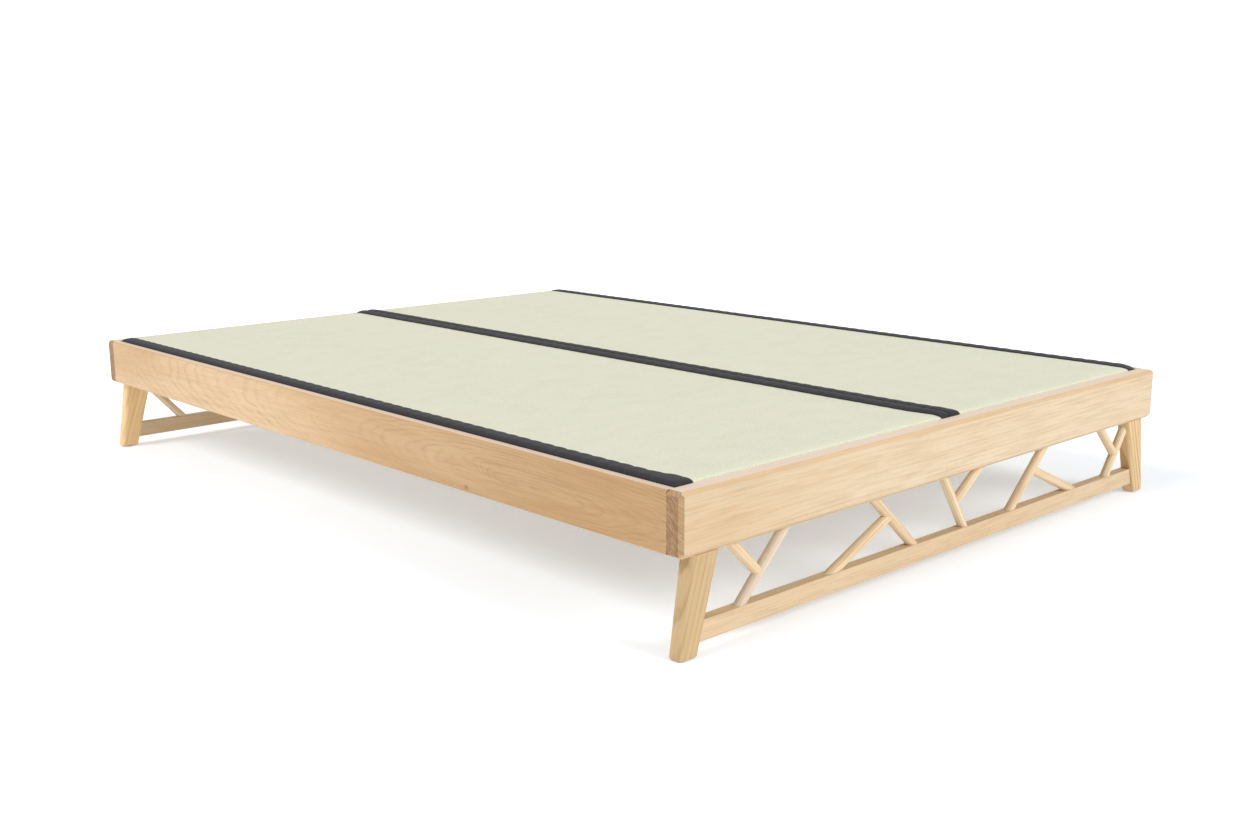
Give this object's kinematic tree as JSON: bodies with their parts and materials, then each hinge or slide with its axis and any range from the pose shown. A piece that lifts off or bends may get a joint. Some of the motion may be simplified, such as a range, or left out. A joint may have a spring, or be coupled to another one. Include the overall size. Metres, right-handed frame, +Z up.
{
  "type": "low platform bed frame with woven mats",
  "caption": "Low wooden platform bed: chamfered end boards on splayed legs with branching round rods, side rails, slats and lift-out woven-rush mats with dark cloth borders.",
  "frame": {"origin": "on the floor under the middle of the bed", "axes": "+X across the bed to the right seen from the foot, +Y along the bed to the head, +Z up"},
  "size_m": [1.444, 1.966, 0.2712],
  "materials": {
    "oak_planed": "clear matte oil",
    "oak_round": "sanded, clear matte oil",
    "slat_wood": "bare planed softwood",
    "zinc_steel": "zinc plated",
    "felt": "pressed felt",
    "mat_core": "compressed straw board",
    "mat_backing": "woven backing sheet",
    "woven_rush": "fine woven rush",
    "border_cloth": "plain dark cotton"
  },
  "bodies": {
    "frame": {"foot_board": "oak_planed", "head_board": "oak_planed", "side_rail_left": "oak_planed", "side_rail_right": "oak_planed", "leg_foot_left": "oak_planed", "leg_foot_right": "oak_planed", "leg_head_left": "oak_planed", "leg_head_right": "oak_planed", "foot_stretcher": "oak_planed", "head_stretcher": "oak_planed", "foot_rod_1": "oak_round", "foot_rod_2": "oak_round", "foot_rod_3": "oak_round", "foot_rod_4": "oak_round", "foot_rod_5": "oak_round", "foot_branch_1": "oak_round", "foot_branch_2": "oak_round", "foot_branch_3": "oak_round", "foot_branch_4": "oak_round", "foot_branch_5": "oak_round", "head_rod_1": "oak_round", "head_rod_2": "oak_round", "head_rod_3": "oak_round", "head_rod_4": "oak_round", "head_rod_5": "oak_round", "head_branch_1": "oak_round", "head_branch_2": "oak_round", "head_branch_3": "oak_round", "head_branch_4": "oak_round", "head_branch_5": "oak_round", "ledger_left": "slat_wood", "ledger_right": "slat_wood", "centre_beam": "slat_wood", "beam_hanger_foot": "zinc_steel", "beam_hanger_head": "zinc_steel", "centre_leg": "oak_round", "centre_leg_bolt": "zinc_steel", "slats": "slat_wood", "rail_dowels": "oak_round", "corner_bracket_foot_left": "zinc_steel", "corner_bracket_foot_right": "zinc_steel", "corner_bracket_head_left": "zinc_steel", "corner_bracket_head_right": "zinc_steel", "bracket_screws": "zinc_steel", "ledger_screws": "zinc_steel", "slat_screws": "zinc_steel", "hanger_screws": "zinc_steel", "felt_pads": "felt"},
    "mat_left": {"mat_left_core": "mat_core", "mat_left_backing": "mat_backing", "mat_left_cover": "woven_rush", "mat_left_border_outer": "border_cloth", "mat_left_border_inner": "border_cloth"},
    "mat_right": {"mat_right_core": "mat_core", "mat_right_backing": "mat_backing", "mat_right_cover": "woven_rush", "mat_right_border_outer": "border_cloth", "mat_right_border_inner": "border_cloth"}
  },
  "joints": [
    {"name": "mat_left_lift", "type": "slide", "parent": "frame", "child": "mat_left", "axis": [0, 0, 1], "range_m": [0, 0.3]},
    {"name": "mat_right_lift", "type": "slide", "parent": "frame", "child": "mat_right", "axis": [0, 0, 1], "range_m": [0, 0.3]}
  ]
}
